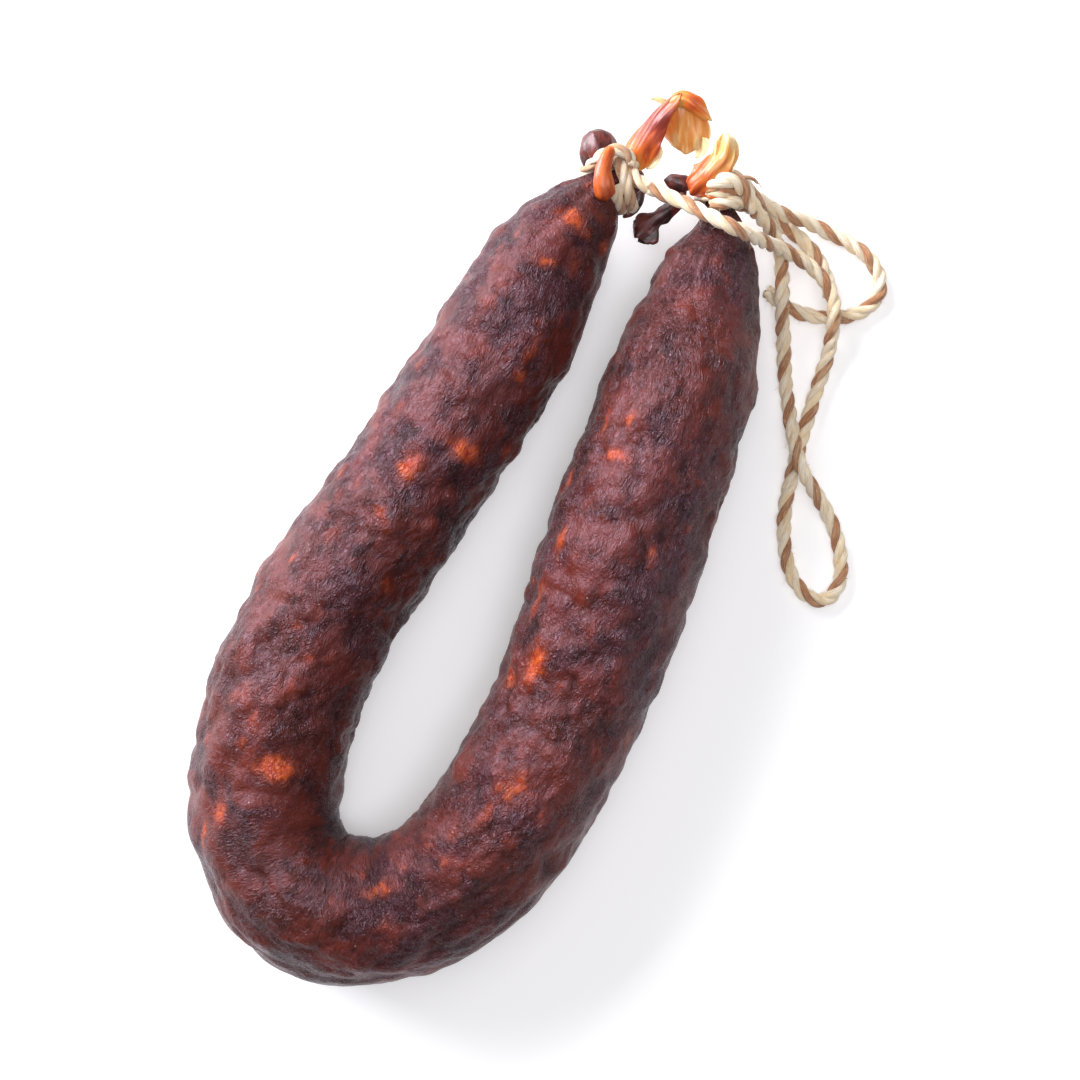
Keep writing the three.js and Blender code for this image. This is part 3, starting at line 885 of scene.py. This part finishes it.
def sheet(skin, route, seed, tints, curl=0.0, folds=(0, 0), ragged=0.25, thick=0.32):
    """A thin crumpled strip of casing. Each row of route: x, y, z, half width, tilt in degrees."""
    rows, run = even_line(route, SHEET_STEP)
    middle, half, tilt = rows[:, :3], rows[:, 3].copy(), np.radians(rows[:, 4])
    half *= np.minimum(1, np.sqrt(np.minimum(run, run[-1] - run) / 1.2 + 0.03))
    _, side, top = level_axes(middle)
    across_sheet = np.cos(tilt)[:, None] * side + np.sin(tilt)[:, None] * top
    face = -np.sin(tilt)[:, None] * side + np.cos(tilt)[:, None] * top
    u = np.linspace(-1, 1, SHEET_SIDES)
    end_near = np.exp(-np.minimum(run, run[-1] - run) / 1.2)
    edge = 1 + ragged * np.array([
        [
            noise.noise(Vector((r * 0.3, seed * 3.1 + s, 0.5)))
            + near * noise.noise(Vector((r * 1.6, s, seed)))
            for s in (0, 9)
        ]
        for r, near in zip(run, end_near)
    ])
    spread = np.where(u[None, :] < 0, edge[:, :1], edge[:, 1:]) * half[:, None] * u[None, :]
    crumple = np.array([
        [
            noise.noise(Vector((r * 0.14, v * 0.4, seed * 2.7))) * 0.9
            + noise.noise(Vector((r * 0.16, v * 1.4, seed))) * 0.3
            for v in line
        ]
        for r, line in zip(run, spread)
    ])
    fold_wave = folds[0] * np.sin(folds[1] * u[None, :] + 0.22 * run[:, None])
    lift = curl * half[:, None] * u[None, :] ** 2 + fold_wave + crumple
    sheet_middle = (
        middle[:, None] + across_sheet[:, None] * spread[..., None] + face[:, None] * lift[..., None]
    )
    normal = unit(np.cross(np.gradient(sheet_middle, axis=0), np.gradient(sheet_middle, axis=1)))
    half_thick = 0.5 * thick * np.sqrt(np.maximum(0.03, 1 - u**4))[None, :, None]
    front = sheet_middle + normal * half_thick
    back = sheet_middle - normal * half_thick
    rings = np.concatenate([front, back[:, ::-1]], axis=1)
    rings[..., 2] = np.maximum(rings[..., 2], 0)
    places = together(run[:, None] + seed * 13, spread, 0 * spread)
    tint = np.interp(run / run[-1], np.linspace(0, 1, len(tints)), tints)[:, None] + 0 * spread
    skin.add_rings(
        rings,
        place=np.concatenate([places, places[:, ::-1]], axis=1),
        tint=np.concatenate([tint, tint[:, ::-1]], axis=1),
    )

# %% Left tail
tail_left = Skin()

RIBBON = [
    (-1.8, 83.4, 14, 1.3, 10), (-1.6, 85.4, 15.2, 2.7, 5), (-1.6, 87.4, 16.6, 3.4, -5),
    (-1.3, 90.3, 18, 3.4, -15), (-0.7, 93.1, 19, 2.8, -20), (0.2, 96.1, 20, 2.1, -25),
    (1.3, 99.2, 20.6, 1.4, -25), (2.2, 101.8, 20.8, 0.6, -20),
]
sheet(
    tail_left, RIBBON, 1, [0.74, 0.62, 0.44, 0.32, 0.26, 0.2, 0.38, 0.62], curl=-0.32, folds=(0.25, 3),
    ragged=0.15,
)

MEMBRANE = [
    (1.4, 91.2, 16, 0.4, 20), (2.6, 89.2, 15.6, 0.8, 30), (2.6, 87.2, 15.2, 1, 30),
    (1.4, 85.2, 14.6, 0.7, 20),
]
sheet(tail_left, MEMBRANE, 11, [0.85, 1.0, 1.0, 0.9], curl=0.2, ragged=0.6)

PEAK = [
    (1.2, 98, 20.4, 1.2, 0), (3, 100.6, 21, 2.2, 10), (5.7, 100.3, 20.8, 2, 15),
    (8.3, 99.6, 20, 1.3, 20), (10.4, 99.2, 19.2, 0.6, 20),
]
sheet(tail_left, PEAK, 2, [0.6, 0.7, 0.42, 0.62, 0.8], curl=-0.5, folds=(0.3, 3), ragged=0.4)

DOME = [
    (3, 100.4, 20, 2.4, 0), (4.4, 98.2, 19.4, 4.4, 0), (5.8, 95.8, 18.2, 5.2, 5),
    (7, 93.4, 16.8, 4.4, 10), (8, 91.2, 15.4, 2, 10),
]
sheet(tail_left, DOME, 3, [0.66, 0.74, 0.68, 0.76, 0.86], curl=-0.42, folds=(0.12, 4), ragged=0.2)

PALE_EDGE = [
    (9.2, 95.6, 16.8, 0.8, 0), (10.2, 94.2, 16.4, 1.6, 10), (10.5, 92.8, 15.8, 1.4, 10),
    (10, 91.2, 15.2, 0.5, 10),
]
sheet(tail_left, PALE_EDGE, 4, [0.95, 1.0, 1.0], curl=0.3, ragged=0.6)

WISP = [
    (-3.6, 98.6, 19, 0.2, 20), (-2.4, 99, 19.4, 0.45, 35), (-0.8, 98.9, 19.8, 0.6, 30),
    (1, 98.6, 20, 0.5, 20),
]
sheet(tail_left, WISP, 5, [1.0, 0.92, 0.7], ragged=0.8)
tail_left.piece("left_tail", amber, "amber_casing", "casing_tail_left")

# %% Right tail
tail_right = Skin()

FAN_BACK = [
    (16.6, 88, 15.6, 1.6, 0), (16.2, 91, 17.2, 2.3, -10), (15.9, 94, 18, 2.6, -10),
    (14.8, 96.8, 17.6, 2, -15), (13.8, 98.4, 17, 0.9, -15),
]
sheet(tail_right, FAN_BACK, 6, [0.6, 0.75, 0.9, 1.0], curl=-0.4, folds=(0.3, 3.2), ragged=0.25)

FAN_FRONT = [
    (12.2, 83.3, 17, 1.4, 5), (12.9, 85.2, 18, 3.4, 5), (14.2, 87.3, 18.9, 4.6, 0),
    (14.9, 90.4, 19.8, 3.4, -5), (15.3, 93.2, 20, 2.5, -10), (14.6, 96.2, 19, 2.3, -10),
    (13.6, 97.8, 18.2, 1.1, 0),
]
sheet(
    tail_right, FAN_FRONT, 7, [0.3, 0.42, 0.5, 0.6, 0.74, 0.86, 0.95], curl=-0.3, folds=(0.3, 5),
    ragged=0.25,
)
tail_right.piece("right_tail", amber, "amber_casing", "casing_tail_right")

# %% Left tab
tab = Skin()

TAB = [
    (-7.2, 86.4, 18.6, 1.1, 0.9), (-7.3, 83.6, 20.2, 1.5, 1.1), (-7, 80.6, 20.9, 1.7, 1.2),
    (-5.9, 78.2, 20.8, 2.2, 1.4), (-4.6, 76, 20, 2.1, 1.2), (-3.9, 75, 19.4, 1.3, 0.8),
]
lobe(tab, TAB, 7, wrinkle=0.22, tint=0.4)
tab.piece("left_tab", amber, "amber_casing", "casing_tab_left")

# %% Folded flaps
flap_left = Skin()

PURPLE_LOBE = [
    (-6.4, 81.4, 12.4, 1.6, 1.4), (-8.2, 82.4, 13.2, 3.2, 2.2), (-9.6, 85, 13.8, 4, 2.8),
    (-10.8, 87.4, 13.6, 3.6, 2.5), (-11.8, 89.4, 13, 2, 1.7),
]
lobe(flap_left, PURPLE_LOBE, 8, wrinkle=0.5)
flap_left.piece("left_flap", dark, "dark_casing", "casing_flap_left")

fold_left = Skin()

LOW_FOLD = [
    (-1, 85.6, 9.4, 1, 0.9), (0.5, 83.4, 8.6, 1.5, 1), (1.6, 80.4, 8, 1.6, 1),
    (1.6, 77.5, 7.4, 1.4, 0.9), (0.4, 74.8, 7, 0.8, 0.7),
]
lobe(fold_left, LOW_FOLD, 9, wrinkle=0.3)
fold_left.piece("left_fold", dark, "dark_casing", "casing_fold_left")

flap_right = Skin()

FLAP_ROOT = [
    (12, 85.8, 12.8, 1.3, 1), (9.6, 85.6, 13, 1.9, 1.2), (7.2, 85.2, 13, 1.8, 1.1),
    (5.6, 84.8, 13, 0.9, 0.7),
]
lobe(flap_right, FLAP_ROOT, 10)

FLAP = [
    (10.4, 84.2, 12.4, 1.1, 0), (9.6, 81.9, 12.4, 1.5, 5), (8.6, 79.4, 12.3, 2, 10),
    (7.2, 76.4, 12, 2.7, 15), (6.1, 73.8, 11.5, 3, 15), (5, 71.4, 11, 2.7, 15),
]
sheet(flap_right, FLAP, 14, [0.1, 0.1], curl=-0.3, folds=(0.3, 5), ragged=0.9, thick=1.3)
flap_right.piece("right_flap", dark, "dark_casing", "casing_flap_right")
